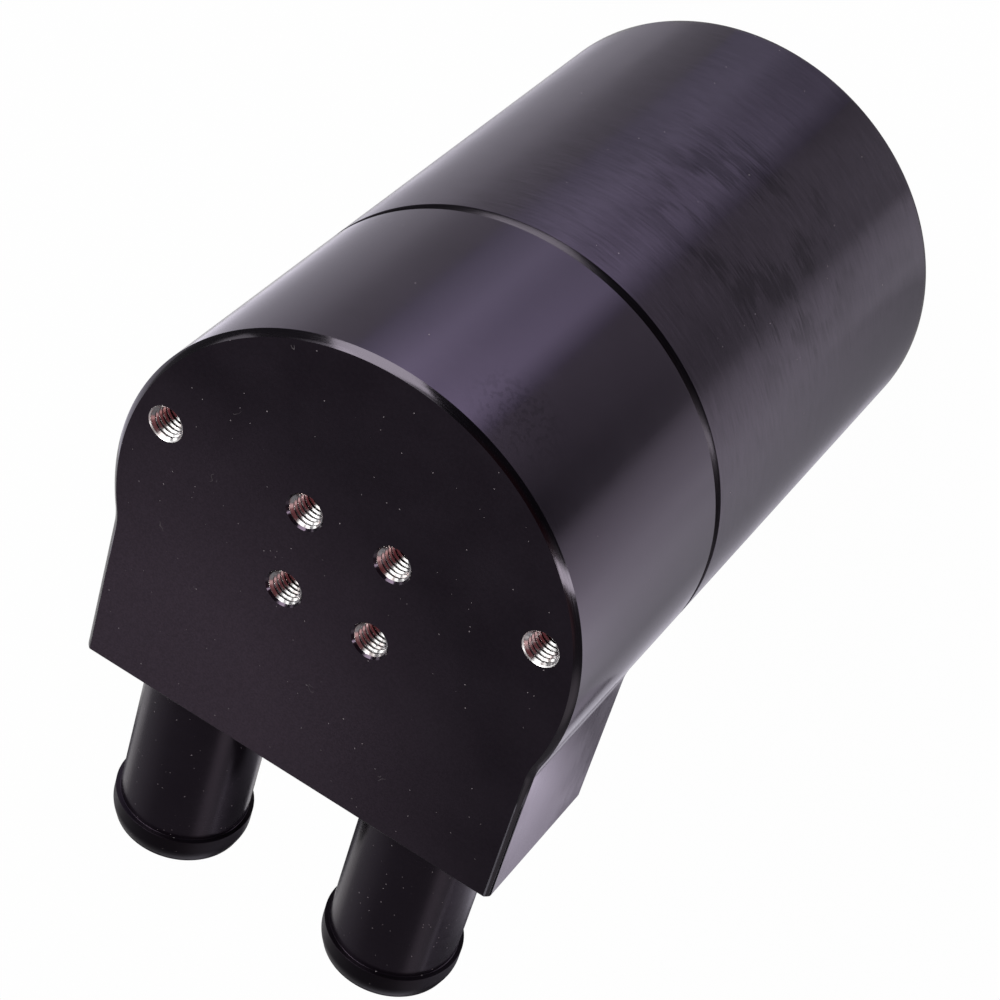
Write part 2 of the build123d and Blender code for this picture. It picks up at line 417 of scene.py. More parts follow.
# %% Paint the sky
horizon_grey = (0.13, 0.13, 0.14, 1.0)
zenith_grey = (0.13, 0.125, 0.135, 1.0)
haze_height = 0.35
sky_patches = (
    ("dark room", 53.0, 42.0, 34.0, 48.0, (0.03, 0.03, 0.035, 1.0)),
    ("red side", -4.0, 54.0, 18.0, 27.0, (0.13, 0.030, 0.036, 1.0)),
    ("red top", 46.0, 62.0, 12.0, 22.0, (0.095, 0.024, 0.028, 1.0)),
    ("pink glint", -20.0, 41.0, 5.0, 12.0, (0.60, 0.36, 0.37, 1.0)),
    ("grey wall", -54.0, 8.0, 3.0, 14.0, (0.30, 0.29, 0.31, 1.0)),
    ("pale wall", -38.0, 18.0, 4.0, 13.0, (0.85, 0.80, 0.82, 1.0)),
    ("far wall", 228.0, 4.0, 8.0, 40.0, (0.26, 0.25, 0.27, 1.0)),
)
world = bpy.data.worlds.new("studio")
scene.world = world
world.use_nodes = True
sky_tree = world.node_tree
direction = put(sky_tree, "TexCoord").outputs["Generated"]


def patch(under, azimuth, elevation, inner, outer, colour):
    """Paint a round patch with a soft rim, between two angles from its middle, over a sky colour."""
    middle = heading(azimuth, elevation)
    along = put(sky_tree, "VectorMath", {0: direction, 1: middle}, operation="DOT_PRODUCT").outputs["Value"]
    rim = math.cos(math.radians(outer))
    full = math.cos(math.radians(inner))
    return mix(sky_tree, span(sky_tree, along, rim, full, 0.0, 1.0), under, colour)


climb = put(sky_tree, "SeparateXYZ", {0: direction}).outputs["Z"]
sky_colour = mix(sky_tree, span(sky_tree, climb, 0.0, haze_height, 0.0, 1.0), horizon_grey, zenith_grey)
for name, azimuth, elevation, inner, outer, colour in sky_patches:
    sky_colour = patch(sky_colour, azimuth, elevation, inner, outer, colour)
    print("sky patch:", name)
rays = put(sky_tree, "LightPath").outputs
seen = math_node(sky_tree, "MAXIMUM", rays["Is Camera Ray"], rays["Is Transmission Ray"])
sky = sky_tree.nodes["Background"]
set_inputs(sky_tree, sky, {"Color": mix(sky_tree, seen, sky_colour, white), "Strength": 1.0})

# %% [markdown]
# ## Dust, lint and smudges
# A part that has been handled is never clean: dust and curled hairs of lint lie on it, and fingers
# leave dull blots. They could be painted on an image, but that has to be wrapped round the part and
# shows its pixels close up. A Voronoi pattern scatters them as well: each cell draws random numbers,
# and only a few cells get a speck or a hair. A smudge is noise near one spot, torn at its rim along
# the tool marks.

# %% Dirt helpers
speck_sizes = (0.04, 0.11)
hair_reach = 0.11
hair_curl = 1.2 * MM
hair_width = 0.016
tear_size = (4 * MM, 4 * MM, 0.30 * MM)
blot_from, blot_to = 0.50, 0.57


def few_cells(tree, where, cell, share):
    """Voronoi cells: the distance from their middle, a random draw, and 1 in the chosen share of them."""
    cells = put(tree, "TexVoronoi", {"Vector": where, "Scale": 1 / cell, "Randomness": 1.0})
    draws = put(tree, "SeparateColor", {0: cells.outputs["Color"]}).outputs
    chosen = math_node(tree, "LESS_THAN", draws["Red"], share)
    return cells.outputs["Distance"], draws["Green"], chosen


def dust(tree, where, cell, share):
    """Specks: one round dot in a few of the cells, of a size that its cell draws."""
    away, draw, chosen = few_cells(tree, where, cell, share)
    size = span(tree, draw, 0.0, 1.0, *speck_sizes)
    dot = math_node(tree, "LESS_THAN", away, size)
    return math_node(tree, "MULTIPLY", chosen, dot)


def lint(tree, where, cell, share):
    """Curled hairs: short stretches of a contour line of noise, in a few of the cells."""
    away, _, chosen = few_cells(tree, where, cell, share)
    within = math_node(tree, "LESS_THAN", away, hair_reach)
    line = math_node(tree, "COMPARE", noise(tree, where, hair_curl, 0.0), 0.5, hair_width)
    return math_node(tree, "MULTIPLY", math_node(tree, "MULTIPLY", chosen, within), line)


def stain(tree, where, spot, reach, size, feather):
    """Dull blots about a spot, torn at their rims along the tool marks; 1 in a blot, 0 elsewhere."""
    near = span(tree, how_far(tree, where, spot), 0.5 * reach, reach, 1.0, 0.0)
    streaks = noise(tree, where, tear_size, 2.0)
    torn = math_node(tree, "MULTIPLY_ADD", streaks, feather, noise(tree, where, size, 2.0))
    blots = span(tree, torn, blot_from + 0.5 * feather, blot_to + 0.5 * feather, 0.0, 1.0)
    return math_node(tree, "MULTIPLY", near, blots)


print("dirt helpers ready")

# %% [markdown]
# ## Black anodising
# Anodising grows a clear, glassy skin on aluminium and soaks it with dye. So the finish is nearly
# black itself, with a warm violet cast, and what one sees is mostly the sheen of the skin. It could
# be shaded as a dark metal, but a dark colour under a clear gloss gives the steep rise of the
# reflection towards the silhouette that the real skin has. The tool marks under the skin decide the
# rest: rings from the lathe on the can, a blasted grain on the head.

# %% Anodising helper
plum = (0.0054, 0.0038, 0.0062, 1.0)
plum_worn = (0.0095, 0.0074, 0.0108, 1.0)
black = (0.0, 0.0, 0.0, 1.0)
sheen_tint = (0.96, 0.74, 1.0, 1.0)
grain_size = 0.25 * MM
grain_depth = 0.01 * MM
cloud_size = 11 * MM
speck_cell = 0.9 * MM
speck_colour = (0.30, 0.27, 0.285, 1.0)
speck_rough = 0.8
hair_cell = 7 * MM
hair_colour = (0.10, 0.09, 0.095, 1.0)


def black_anodise(
    name, gloss, marks, mark_depth, speck_share, hair_share=0.0, colours=(plum, plum_worn),
    tint=sheen_tint, shine=0.5, streak=0.0, stained=None, painted_light_spot=None,
):
    """Black skin over tool marks of the given size, in metres for each axis."""
    material, tree, shader = empty_finish(name)
    where = place(tree)
    lines = noise(tree, where, marks, 3.0, 0.65)
    grain = noise(tree, where, grain_size, 2.0)
    clouds = noise(tree, where, cloud_size, 3.0)
    specks = dust(tree, where, speck_cell, speck_share)

    dye, dye_worn = colours
    colour = mix(tree, span(tree, clouds, 0.35, 0.75, 0.0, 0.8), dye, dye_worn)
    colour = mix(tree, span(tree, lines, 0.4, 0.8, 0.0, 0.5), colour, dye_worn)
    # Painted light: the colour turns paler near one spot, standing in for a brighter reflection there.
    if painted_light_spot:
        spot, reach, painted_light_colour = painted_light_spot
        near = span(tree, how_far(tree, where, spot), 0.3 * reach, reach, 1.0, 0.0)
        colour = mix(tree, near, colour, painted_light_colour)
    colour = mix(tree, span(tree, grain, 0.35, 0.65, 0.0, 0.35), colour, black)
    colour = mix(tree, specks, colour, speck_colour)
    if hair_share:
        colour = mix(tree, lint(tree, where, hair_cell, hair_share), colour, hair_colour)

    sheen = shine
    if streak:
        sheen = span(tree, lines, 0.3, 0.7, shine - streak, shine + streak)
    if stained:
        *blot, dullest = stained
        dulling = span(tree, stain(tree, where, *blot), 0.0, 1.0, 1.0, dullest)
        sheen = math_node(tree, "MULTIPLY", sheen, dulling)

    ringed = span(tree, lines, 0.3, 0.7, gloss - 0.04, gloss + 0.04)
    clouded = span(tree, clouds, 0.3, 0.7, -0.03, 0.03)
    rough = math_node(tree, "ADD", ringed, clouded)
    rough = math_node(tree, "MAXIMUM", rough, math_node(tree, "MULTIPLY", specks, speck_rough))
    fine = put(tree, "Bump", {"Strength": 0.10, "Distance": grain_depth, "Height": grain})
    relief = put(tree, "Bump", {
        "Strength": 0.5,
        "Distance": mark_depth,
        "Height": lines,
        "Normal": fine.outputs[0],
    })
    set_inputs(tree, shader, {
        "Base Color": colour,
        "Roughness": rough,
        "IOR": 1.5,
        "Specular IOR Level": sheen,
        "Specular Tint": tint,
        "Normal": relief.outputs[0],
    })
    return material


print("anodising helper ready")

# %% [markdown]
# The same skin looks different on each surface. The can has strong lathe rings and a dull smudge on
# its back, the head's sides are smoother, and its milled face is dull and dusty. The face's front is
# painted a little paler: painted light, standing in for the brighter reflection there. The stubs collect
# the most dust. The chamfers are cut smooth, so they are darkest and draw the sharpest glints. One
# helper makes them all, because only its numbers differ.

# %% Black finishes
deep_black = ((0.0014, 0.0010, 0.0016, 1.0), (0.0026, 0.0020, 0.0030, 1.0))
face_plum = ((0.0064, 0.0045, 0.0072, 1.0), (0.0150, 0.0118, 0.0165, 1.0))
edge_tint = (0.94, 0.83, 1.0, 1.0)
# Painted light: the front of the mounting face is painted paler, for the brighter reflection there.
painted_front_light = (Vector((-20 * MM, -31 * MM, top_z)), 50 * MM, (0.048, 0.036, 0.049, 1.0))
can_stain = (Vector((17, 30, 40)) * MM, 25 * MM, (9 * MM, 9 * MM, 7 * MM), 0.55, 0.56)
head_stain = (Vector((14, 32, 102)) * MM, 8 * MM, (0.8 * MM, 0.8 * MM, 0.8 * MM), 0.05, 0.78)
lathe_rings = (4 * MM, 4 * MM, 0.14 * MM)
faint_rings = (5 * MM, 5 * MM, 0.30 * MM)
blasted = (0.5 * MM, 0.5 * MM, 0.5 * MM)
stub_rings = (6 * MM, 0.14 * MM, 6 * MM)
edge_rings = (8 * MM, 8 * MM, 0.10 * MM)

turned_black = black_anodise(
    "turned_black", 0.20, lathe_rings, 0.005 * MM, 0.05, streak=0.18, stained=can_stain,
)
satin_black = black_anodise(
    "satin_black", 0.15, faint_rings, 0.002 * MM, 0.02, stained=head_stain,
)
face_black = black_anodise(
    "face_black", 0.34, blasted, 0.004 * MM, 0.18, hair_share=0.4, colours=face_plum, painted_light_spot=painted_front_light,
)
stub_black = black_anodise(
    "stub_black", 0.22, stub_rings, 0.003 * MM, 0.65,
)
bead_black = black_anodise(
    "bead_black", 0.40, stub_rings, 0.003 * MM, 0.30, colours=deep_black, shine=0.24,
)
edge_black = black_anodise(
    "edge_black", 0.14, edge_rings, 0.001 * MM, 0.0, colours=deep_black, tint=edge_tint,
)
lip_black = black_anodise(
    "lip_black", 0.24, edge_rings, 0.001 * MM, 0.0, colours=deep_black, tint=edge_tint, shine=0.32,
)
print("black finishes: turned, satin, face, stub, bead, edge, lip")

# %% [markdown]
# ## Bare metal
# The holes were tapped after anodising, so the flanks of their threads are bright. The crests, which
# are what is left of the drilled wall, and the drill points below stayed black, and so did the
# countersinks of the middle four holes. The rims of the outer two are bright. Some dye ran in and
# stains the metal a reddish brown in places. Inside the can the tube and the spacers are plain
# machined aluminium, and the plate and the screws are stainless steel. One even colour would make them
# look unreal, so noise gives each of them fine tool lines and a soft tarnish.

# %% Metal finishes
tarnish_size = 2.2 * MM
tarnish_from, tarnish_to = 0.5, 0.75
cut_depth = 0.004 * MM
thread_lines = (1 * MM, 1 * MM, 0.05 * MM)
tube_lines = (6 * MM, 6 * MM, 0.12 * MM)
sheet_lines = (0.2 * MM, 7 * MM, 0.2 * MM)
bright = (0.88, 0.87, 0.86, 1.0)


def bare_metal(name, light, tarnish, gloss, marks):
    """Machined metal: fine tool lines, and a tarnish in soft patches."""
    material, tree, shader = empty_finish(name)
    where = place(tree)
    lines = noise(tree, where, marks, 3.0, 0.6)
    patches = noise(tree, where, tarnish_size, 2.0)
    relief = put(tree, "Bump", {"Strength": 0.4, "Distance": cut_depth, "Height": lines})
    set_inputs(tree, shader, {
        "Base Color": mix(tree, span(tree, patches, tarnish_from, tarnish_to, 0.0, 1.0), light, tarnish),
        "Metallic": 1.0,
        "Roughness": span(tree, lines, 0.3, 0.7, gloss - 0.06, gloss + 0.06),
        "Normal": relief.outputs[0],
    })
    return material


thread_bright = bare_metal("thread_bright", bright, (0.66, 0.48, 0.45, 1.0), 0.18, thread_lines)
rim_bright = bare_metal("rim_bright", bright, (0.76, 0.70, 0.69, 1.0), 0.42, thread_lines)
bare_aluminium = bare_metal(
    "bare_aluminium", (0.80, 0.80, 0.81, 1.0), (0.70, 0.69, 0.68, 1.0), 0.30, tube_lines,
)
stainless = bare_metal(
    "stainless", (0.60, 0.59, 0.57, 1.0), (0.50, 0.49, 0.47, 1.0), 0.28, sheet_lines,
)
print("metal finishes: thread, rim, bare aluminium, stainless")

# %% [markdown]
# ## Knitted wire
# The pad in the can is fine steel wire, knitted and pressed into a ring, which the oil mist settles
# on. Modelling each loop would take more faces than all the rest, and nobody sees the pad unless the
# can is open. So two sets of slanting waves stand for the strands, and the gaps between them are
# painted dark: painted shade for the depth of the knit.

# %% Wire finish
strand_slant = 40.0
strand_scale = 260.0
# Painted shade: the gaps between the strands are painted nearly black.
wire_gap_shade = (0.02, 0.02, 0.02, 1.0)
wire_steel = (0.62, 0.61, 0.59, 1.0)


def knitted_wire():
    """Fine steel wire knitted crosswise: two sets of slanting strands over gaps painted dark as shade."""
    material, tree, shader = empty_finish("knitted_wire")
    where = place(tree)
    strands = []
    for slant in (math.radians(strand_slant), math.radians(-strand_slant)):
        turned = put(tree, "Mapping", {"Vector": where, "Rotation": (slant, 0.0, slant)})
        wave = put(tree, "TexWave", {
            "Vector": turned.outputs[0],
            "Scale": strand_scale,
            "Distortion": 2.0,
            "Detail": 1.0,
            "Detail Scale": 1.5,
        }, wave_profile="SIN")
        strands.append(wave.outputs["Fac"])
    woven = math_node(tree, "MAXIMUM", *strands)
    relief = put(tree, "Bump", {"Strength": 0.9, "Distance": 0.25 * MM, "Height": woven})
    set_inputs(tree, shader, {
        "Base Color": mix(tree, span(tree, woven, 0.45, 0.8, 0.0, 1.0), wire_gap_shade, wire_steel),
        "Metallic": 1.0,
        "Roughness": span(tree, woven, 0.4, 0.9, 0.6, 0.3),
        "Normal": relief.outputs[0],
    })
    return material


wire_mesh = knitted_wire()
print("wire mesh ready")

# %% [markdown]
# ## Rubber
# The ring between head and can is nitrile rubber: black, matt, with a faint bloom that comes out of
# it with age. One flat grey would do at this size, but soft noise for the bloom and a fine bump for
# the pores keep it from looking like painted metal.

# %% Rubber finish
rubber_black = (0.012, 0.012, 0.013, 1.0)
rubber_bloom = (0.035, 0.035, 0.036, 1.0)


def seal_rubber():
    """Matt black rubber with a pale bloom."""
    material, tree, shader = empty_finish("nitrile")
    where = place(tree)
    bloom = noise(tree, where, 3 * MM, 3.0)
    pores = noise(tree, where, 0.2 * MM, 2.0)
    skin = put(tree, "Bump", {"Strength": 0.3, "Distance": 0.02 * MM, "Height": pores})
    set_inputs(tree, shader, {
        "Base Color": mix(tree, span(tree, bloom, 0.4, 0.8, 0.0, 1.0), rubber_black, rubber_bloom),
        "Roughness": span(tree, bloom, 0.3, 0.7, 0.5, 0.65),
        "Normal": skin.outputs[0],
    })
    return material


nodes["main_o_ring"].data.materials[0] = seal_rubber()
print("seal in nitrile rubber")

# %% [markdown]
# ## Turning on the lathe
# Can, stubs and cutters are all bodies of revolution. Blender's Screw modifier could spin them, but
# here each side of an outline names its own finish, so one helper spins outlines of (radius, height,
# finish) corners. A real edge is never a knife edge: another helper rounds each corner by a few
# hundredths of a millimetre, and that thin round is what catches the light along the seam.

# %% Lathe helpers
edge_break = 0.08 * MM
round_steps = 3
largest_trim = 0.3
straight = math.radians(176)
crisp_angle = 32.0


def rounded(outline, radius):
    """Round each corner of a closed outline; a corner on the axis stays sharp.

    Each corner is (radius, height, finish of the side that follows it)."""
    corners = []
    for index, (r, z, finish) in enumerate(outline):
        here = Vector((r, z))
        before = Vector(outline[index - 1][:2]) - here
        after = Vector(outline[(index + 1) % len(outline)][:2]) - here
        turn = before.angle(after)
        if r == 0 or turn > straight:
            corners.append((r, z, finish))
            continue
        trim = min(radius / math.tan(turn / 2), largest_trim * before.length, largest_trim * after.length)
        first = here + before.normalized() * trim
        last = here + after.normalized() * trim
        for step in range(round_steps + 1):
            t = step / round_steps
            point = first.lerp(here, t).lerp(here.lerp(last, t), t)
            corners.append((point.x, point.y, finish if t == 1 else outline[index - 1][2]))
    return corners


def quarter_turn(steps):
    """Angles from nought to a right angle."""
    return [math.radians(90 * step / steps) for step in range(steps + 1)]


def crown(t, bulge):
    """How far a slightly crowned flat stands proud, at a share t of its width."""
    return bulge * 4 * t * (1 - t)


def spin(bm, outline, steps):
    """Add a body of revolution about Z to a mesh."""
    rings = []
    angles = [2 * math.pi * step / steps for step in range(steps)]
    for r, z, finish in outline:
        if r == 0:
            rings.append([bm.verts.new((0.0, 0.0, z))] * steps)
        else:
            rings.append([bm.verts.new((r * math.cos(a), r * math.sin(a), z)) for a in angles])
    for index, ring in enumerate(rings):
        follower = rings[(index + 1) % len(rings)]
        if outline[index][0] == 0 and outline[(index + 1) % len(rings)][0] == 0:
            continue
        for step in range(steps):
            loop = [ring[step - 1], ring[step], follower[step], follower[step - 1]]
            face = bm.faces.new(list(dict.fromkeys(loop)))
            face.material_index = outline[index][2]
    return bm


print("lathe helpers ready")

# %% [markdown]
# ## From a mesh to a piece
# A mesh in the making becomes a piece of the part in three steps. Walls are shaded smooth and edges
# stay crisp where two faces meet at more than 32 degrees. A Weighted Normal modifier lets the broad
# faces rule the shading, so that thin edge rounds don't bend it. Then the piece takes the place of
# its solid and rides on the solid's body.

# %% Piece helpers
def piece_from(bm, name, materials, sharp=crisp_angle):
    """Turn a mesh in the making into a piece with smooth walls and crisp edges."""
    bmesh.ops.recalc_face_normals(bm, faces=bm.faces)
    mesh = bpy.data.meshes.new(name)
    bm.to_mesh(mesh)
    bm.free()
    for material in materials:
        mesh.materials.append(material)
    mesh.shade_smooth()
    mesh.set_sharp_from_angle(angle=math.radians(sharp))
    piece = bpy.data.objects.new(name, mesh)
    scene.collection.objects.link(piece)
    return piece


def even_shading(piece):
    """Let broad faces rule the shading, so that thin edge rounds don't bend it."""
    shading = piece.modifiers.new("even_shading", "WEIGHTED_NORMAL")
    shading.keep_sharp = True
    return piece


def dress(piece, node, body):
    """Put a piece in place of a solid, on its body."""
    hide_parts(node)
    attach(piece, body)
    print(piece.name, len(piece.data.polygons), "faces")


print("piece helpers ready")

# %% [markdown]
# ## The can
# The cup is turned from bar: a flat foot, a plain wall with fine lathe rings, a chamfered lip, and
# inside it a seal land, the thread's root and a floor with a round corner. It could be a cylinder with
# a bevel, but the lathe's way is shorter: the outline follows the wall once round, and each side of it
# names its finish. The lip's chamfer is crowned by a few hundredths, which spreads its glint.

# %% Turn the can
WALL, EDGE, INSIDE = 0, 1, 2
foot_chamfer = 0.6 * MM
lead_chamfer = 0.8 * MM
seal_wall, root_wall, can_wall = 3.25 * MM, 3.45 * MM, 5.0 * MM
seal_r = body_r - seal_wall
thread_root_r = body_r - root_wall
can_bore_r = body_r - can_wall
land_z = seam_z - 6.5 * MM
run_out_z = spigot_z - 1.0 * MM
can_floor = 5.0 * MM
floor_corner = 3.0 * MM
lip_bulge = 0.025 * MM
curve_steps = 8
body_steps = 240

floor_round = [
    (can_bore_r - floor_corner * (1 - math.cos(a)), can_floor + floor_corner * (1 - math.sin(a)), INSIDE)
    for a in quarter_turn(curve_steps)
]
lip = []
for step in range(curve_steps + 1):
    t = step / curve_steps
    out = crown(t, lip_bulge)
    finish = INSIDE if t == 1 else EDGE
    lip.append((body_r - seam_chamfer * t + out, seam_z - seam_chamfer * (1 - t) + out, finish))
can_outline = rounded([
    (0, 0, WALL),
    (body_r - foot_chamfer, 0, EDGE),
    (body_r, foot_chamfer, WALL),
    *lip,
    (seal_r + lead_chamfer, seam_z, INSIDE),
    (seal_r, seam_z - lead_chamfer, INSIDE),
    (seal_r, land_z, INSIDE),
    (thread_root_r, land_z, INSIDE),
    (thread_root_r, run_out_z, INSIDE),
    (can_bore_r, run_out_z, INSIDE),
], edge_break)[:-1]
can_outline += [(can_bore_r, run_out_z, INSIDE)] + floor_round + [(0, can_floor, INSIDE)]
can_mesh = spin(bmesh.new(), can_outline, body_steps)
can = piece_from(can_mesh, "can_turned", [turned_black, lip_black, satin_black])
dress(even_shading(can), "can", "can")

# %% [markdown]
# ## The head's outline
# Seen from above the head is a D: the round body runs through a hollow blend into two flat sides,
# and a flat port face closes the front. A curve object could draw it, but the chamfer has to follow
# it too. So the outline is a list of points, each with the direction that points out of the metal
# there, and the chamfer is the same outline moved inwards.

# %% Plan of the head
block_half = 33.2 * MM
blend_r = 10.0 * MM
top_chamfer = 0.85 * MM
seat_r = 9.47 * MM
seat_wall = 4.13 * MM
block_z = port_z - seat_r - seat_wall
blend_x = block_half + blend_r
blend_y = -math.sqrt((body_r + blend_r) ** 2 - blend_x ** 2)
meet_angle = math.atan2(blend_y, blend_x)
back_steps = 142
front_steps = 98
blend_steps = 12


def right_side():
    """From the front corner back to where the blend meets the round body, with outward directions."""
    side = [(Vector((block_half, port_y)), Vector((1.0, 0.0)))]
    for step in range(blend_steps + 1):
        a = math.pi + meet_angle * step / blend_steps
        inward = Vector((math.cos(a), math.sin(a)))
        side.append((Vector((blend_x, blend_y)) + inward * blend_r, -inward))
    return side


def back_arc():
    """The round body's stretch behind the two blends, without its ends."""
    sweep = math.pi - 2 * meet_angle
    angles = [meet_angle + sweep * step / back_steps for step in range(1, back_steps)]
    return [(Vector((math.cos(a), math.sin(a))) * body_r, Vector((math.cos(a), math.sin(a)))) for a in angles]


def flipped(points):
    """The same stretch on the other side of the middle plane, run the other way."""
    return [(Vector((-p.x, p.y)), Vector((-n.x, n.y))) for p, n in reversed(points)]


plan = right_side() + back_arc() + flipped(right_side())
print("head outline:", len(plan), "points")

# %% [markdown]
# ## Milling the head
# The head is one billet. The block in front stands out from the round body and stops above the seam,
# and a spigot with the seal's gland and the thread reaches down into the can. It could be joined from
# a block and a cylinder by a Boolean, but that leaves ragged edges where the blends run out. So the
# blank is built wall by wall from loops that share their points: the D above, the round body below
# it, the crescent underneath the block, and the spigot.

# %% Loops and walls
SIDE, FACE, EDGE_CUT = 0, 1, 2


def ring_at(bm, points, z):
    """One loop of vertices at a height."""
    return [bm.verts.new((p.x, p.y, z)) for p in points]


def wall(bm, low, high, finish, closed=True):
    """Quads between two loops of the same length."""
    for step in range(0 if closed else 1, len(low)):
        face = bm.faces.new([low[step - 1], low[step], high[step], high[step - 1]])
        face.material_index = finish


def open_edges(bm):
    """How many edges don't join exactly two faces; a closed mesh has none."""
    return len([edge for edge in bm.edges if len(edge.link_faces) != 2])


print("loop helpers ready")

# %% [markdown]
# The block comes first: its walls, the chamfer round the mounting face, that face, and the port face in
# front. The chamfer is polished and crowned by two hundredths of a millimetre, as the can's lip is. The
# port face meets the mounting face in a plain edge.

# %% Block of the head
chamfer_steps = 6
chamfer_bulge = 0.022 * MM


def block_part(bm):
    """The D with its chamfer, its mounting face and its port face; gives its lowest loop."""
    block_ring = ring_at(bm, [p for p, n in plan], block_z)
    chamfer_rings = [ring_at(bm, [p for p, n in plan], top_z - top_chamfer)]
    for step in range(1, chamfer_steps):
        t = step / chamfer_steps
        bulge = crown(t, chamfer_bulge)
        level = [p - n * (top_chamfer * t - bulge) for p, n in plan]
        chamfer_rings.append(ring_at(bm, level, top_z - top_chamfer * (1 - t) + bulge))
    chamfer_rings.append(ring_at(bm, [p - n * top_chamfer for p, n in plan], top_z))
    wall(bm, block_ring, chamfer_rings[0], SIDE, closed=False)
    for low, high in zip(chamfer_rings, chamfer_rings[1:]):
        wall(bm, low, high, EDGE_CUT, closed=False)
    right_end = [ring[0] for ring in chamfer_rings]
    left_end = [ring[-1] for ring in chamfer_rings]
    bm.faces.new([block_ring[-1], block_ring[0]] + right_end + left_end[::-1]).material_index = SIDE
    bm.faces.new(chamfer_rings[-1]).material_index = FACE
    return block_ring


blank = bmesh.new()
block_ring = block_part(blank)
print("block:", len(blank.faces), "faces")

# %% [markdown]
# Everything below the block is round, so it is spun from an outline again, but on the block's own
# points, and no join is left between the two. It runs down past the seam's chamfer to the seal's gland
# and the thread, round the end of the spigot and up into the recess that the gas leaves through.

# %% Round body and spigot
land_gap = 0.3 * MM
root_gap = 0.95 * MM
spigot_wall = 4.6 * MM
land_r = seal_r - land_gap
gland_r = 28.95 * MM
gland_low = seam_z - 5.0 * MM
gland_high = seam_z - 1.5 * MM
spigot_root_r = thread_root_r - root_gap
plenum_r = spigot_root_r - spigot_wall
plenum_z = spigot_z + 4.0 * MM


def round_part(bm, block_ring):
    """The crescent underneath the block, the round body, the spigot and the recess in it."""
    arc_from = blend_steps + 1
    arc_to = len(plan) - blend_steps - 1
    front_sweep = math.pi + 2 * meet_angle
    front_angles = [math.pi - meet_angle + front_sweep * step / front_steps for step in range(1, front_steps)]
    front_ring = ring_at(bm, [Vector((math.cos(a), math.sin(a))) * body_r for a in front_angles], block_z)
    crescent = block_ring[arc_to - 1:] + block_ring[:arc_from + 1] + front_ring[::-1]
    bm.faces.new(crescent).material_index = SIDE

    last = block_ring[arc_from:arc_to] + front_ring
    directions = [Vector(v.co.xy).normalized() for v in last]
    below = rounded([
        (body_r, block_z, SIDE),
        (body_r, seam_z + seam_chamfer, EDGE_CUT),
        (body_r - seam_chamfer, seam_z, SIDE),
        (land_r, seam_z, SIDE),
        (land_r, gland_high, SIDE),
        (gland_r, gland_high, SIDE),
        (gland_r, gland_low, SIDE),
        (land_r, gland_low, SIDE),
        (land_r, land_z, SIDE),
        (spigot_root_r, land_z, SIDE),
        (spigot_root_r, spigot_z + lead_chamfer, SIDE),
        (spigot_root_r - lead_chamfer, spigot_z, SIDE),
        (plenum_r, spigot_z, SIDE),
        (plenum_r, plenum_z, SIDE),
        (0, plenum_z, SIDE),
    ], edge_break)[round_steps + 1:-1]
    finish = SIDE
    for r, z, next_finish in below:
        ring = ring_at(bm, [d * r for d in directions], z)
        wall(bm, ring, last, finish)
        last, finish = ring, next_finish
    bm.faces.new(last).material_index = SIDE


round_part(blank, block_ring)
print("head blank:", len(blank.faces), "faces,", open_edges(blank), "open edges")

# %% [markdown]
# ## Breaking the block's edges
# A file or a tumbler takes the sharpness off the edges round the port face. A Bevel modifier would need
# a weight on each of these edges; bmesh's own bevel takes a list of them, and rounds them in three
# steps. It leaves slivers where it runs into the crowned chamfers, so they are cleaned away.

# %% Break the block's edges
front_edge_break = 0.20 * MM
front_edge_steps = 3
weld = 0.001 * MM


def is_block_edge(edge):
    """True for the edges round the port face."""
    return all(abs(vert.co.y - port_y) < weld for vert in edge.verts)


bevelled = [edge for edge in blank.edges if is_block_edge(edge)]
bmesh.ops.bevel(
    blank, geom=bevelled, offset=front_edge_break, segments=front_edge_steps,
    profile=0.5, affect="EDGES", material=EDGE_CUT,
)
bmesh.ops.dissolve_degenerate(blank, dist=weld, edges=blank.edges)
print("bevelled", len(bevelled), "edges,", open_edges(blank), "open edges")
head = piece_from(blank, "head_milled", [satin_black, face_black, edge_black])

# %% [markdown]
# ## Drilling the head
# The real holes are drilled, so here too each hole has a cutter, and each cutter is a turned body:
# six tapped holes with their countersinks and drill points, three holes for the baffle's screws, the
# two ports with the stubs' seats, and the passages that rise from the recess to the ports. Holes
# could be built into the blank's faces, but a Boolean keeps each hole's own finish and a clean edge.

# %% Cutter helpers
BARE, DYED, RIM = 0, 1, 2
spare = 1.0 * MM
hole_steps = 64


def add_moved(bm, part, matrix):
    """Move a part into place and add it to a mesh."""
    bmesh.ops.transform(part, matrix=matrix, verts=part.verts)
    mesh = bpy.data.meshes.new("part")
    part.to_mesh(mesh)
    part.free()
    bm.from_mesh(mesh)
    bpy.data.meshes.remove(mesh)


def bar(radius, low, high, finish):
    """Outline of a plain round cutter."""
    return [(0, low, finish), (radius, low, finish), (radius, high, finish), (0, high, finish)]


def at_port(side):
    """Where a turned body stands out of the left port (-1) or the right one (1)."""
    return Matrix.Translation((side * port_x, port_y, port_z)) @ Matrix.Rotation(math.radians(90), 4, "X")


print("cutter helpers ready")

# %% [markdown]
# The six holes in the mounting face hold the can up by its bracket: four in a square, and one in each
# wing. Each is a countersink, a wall at the root of the thread and the cone that the drill leaves. The
# finish of each side goes over to the head: the tapped wall is bright, the untapped end is black.

# %% Tapped holes
hole_r = 2.5 * MM
hole_depth = 10.0 * MM
tapped_depth = 9.0 * MM
centre_sink, wing_sink = 0.30 * MM, 0.15 * MM
drill_slope = math.tan(math.radians(59))
centre_half, centre_shift = 6.7 * MM, 0.65 * MM
wing_x, wing_shift = body_r - 6.5 * MM, 8.15 * MM
tapped_holes = [
    (x, centre_shift + y, centre_sink, DYED)
    for x in (-centre_half, centre_half) for y in (-centre_half, centre_half)
]
tapped_holes += [(x, wing_shift, wing_sink, RIM) for x in (-wing_x, wing_x)]


